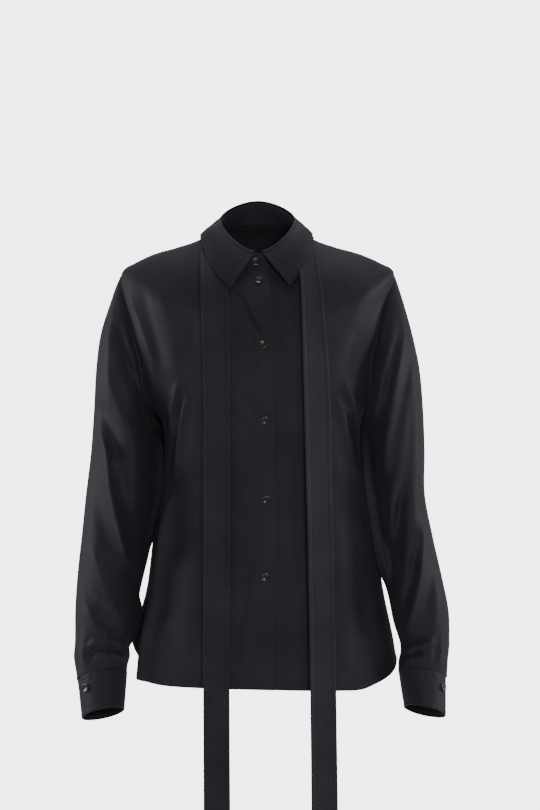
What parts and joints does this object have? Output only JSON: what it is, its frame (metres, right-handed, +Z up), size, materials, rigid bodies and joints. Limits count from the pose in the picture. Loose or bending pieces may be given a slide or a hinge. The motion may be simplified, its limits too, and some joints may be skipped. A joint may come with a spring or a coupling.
{
  "type": "tie neck blouse",
  "caption": "Long sleeved point collar blouse with a front button placket, buttoned cuffs, shirt-tail hem and an undone neck tie, in its hollow worn form.",
  "frame": {"origin": "middle of the wearer's neck at the height where the shoulders carry the blouse", "axes": "+Z up, the front faces -Y, +X towards the wearer's left"},
  "size_m": [0.5389, 0.2402, 0.9374],
  "materials": {
    "crepe": "matt black crepe with a soft sheen",
    "button": "polished smoky black"
  },
  "bodies": {
    "root": {"front_right": "crepe", "front_left": "crepe", "back": "crepe", "placket": "crepe", "sleeve_right": "crepe", "sleeve_left": "crepe", "cuff_right": "crepe", "cuff_left": "crepe", "collar_stand": "crepe", "collar": "crepe", "tie_band": "crepe", "tie_end_right": "crepe", "tie_end_left": "crepe", "button_stand": "button", "button_front_1": "button", "button_front_2": "button", "button_front_3": "button", "button_front_4": "button", "button_front_5": "button", "button_cuff_right": "button", "button_cuff_left": "button"}
  },
  "joints": []
}
